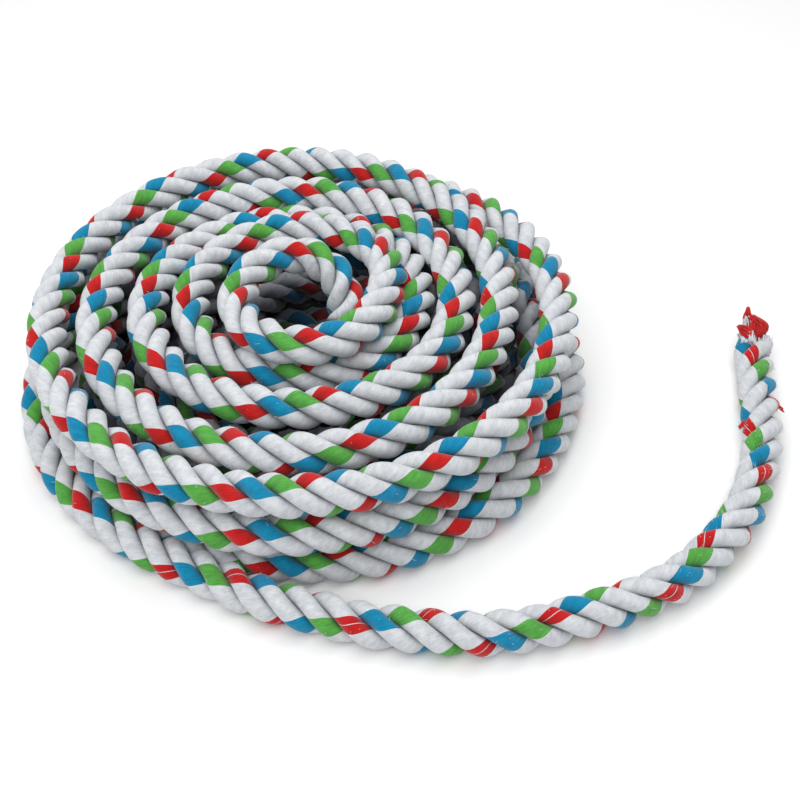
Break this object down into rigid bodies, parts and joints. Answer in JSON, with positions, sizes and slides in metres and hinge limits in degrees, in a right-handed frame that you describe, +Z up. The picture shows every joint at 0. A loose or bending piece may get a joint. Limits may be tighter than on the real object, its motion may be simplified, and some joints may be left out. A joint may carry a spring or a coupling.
{
  "type": "tug-of-war rope",
  "caption": "Laid cotton pulling rope with green, red and blue marker yarns, wound into a round coil with its free end laid out beside it.",
  "frame": {"origin": "on the floor, at the middle of the footprint of the coil and the free end together", "axes": "+Z up, +X towards the side where the free end lies, +Y away from the viewer who faces the free end's long bend"},
  "size_m": [0.4823, 0.3894, 0.084],
  "materials": {
    "cotton_white": "soft matte laid cotton",
    "tracer_green": "matte dyed cotton yarn",
    "tracer_red": "matte dyed cotton yarn",
    "tracer_blue": "matte dyed cotton yarn"
  },
  "bodies": {
    "root": {"coil": "cotton_white", "tail": "cotton_white", "strand_end_green": "tracer_green", "strand_end_red": "tracer_red", "strand_end_blue": "tracer_blue", "red_yarn_tuft": "tracer_red"}
  },
  "joints": []
}
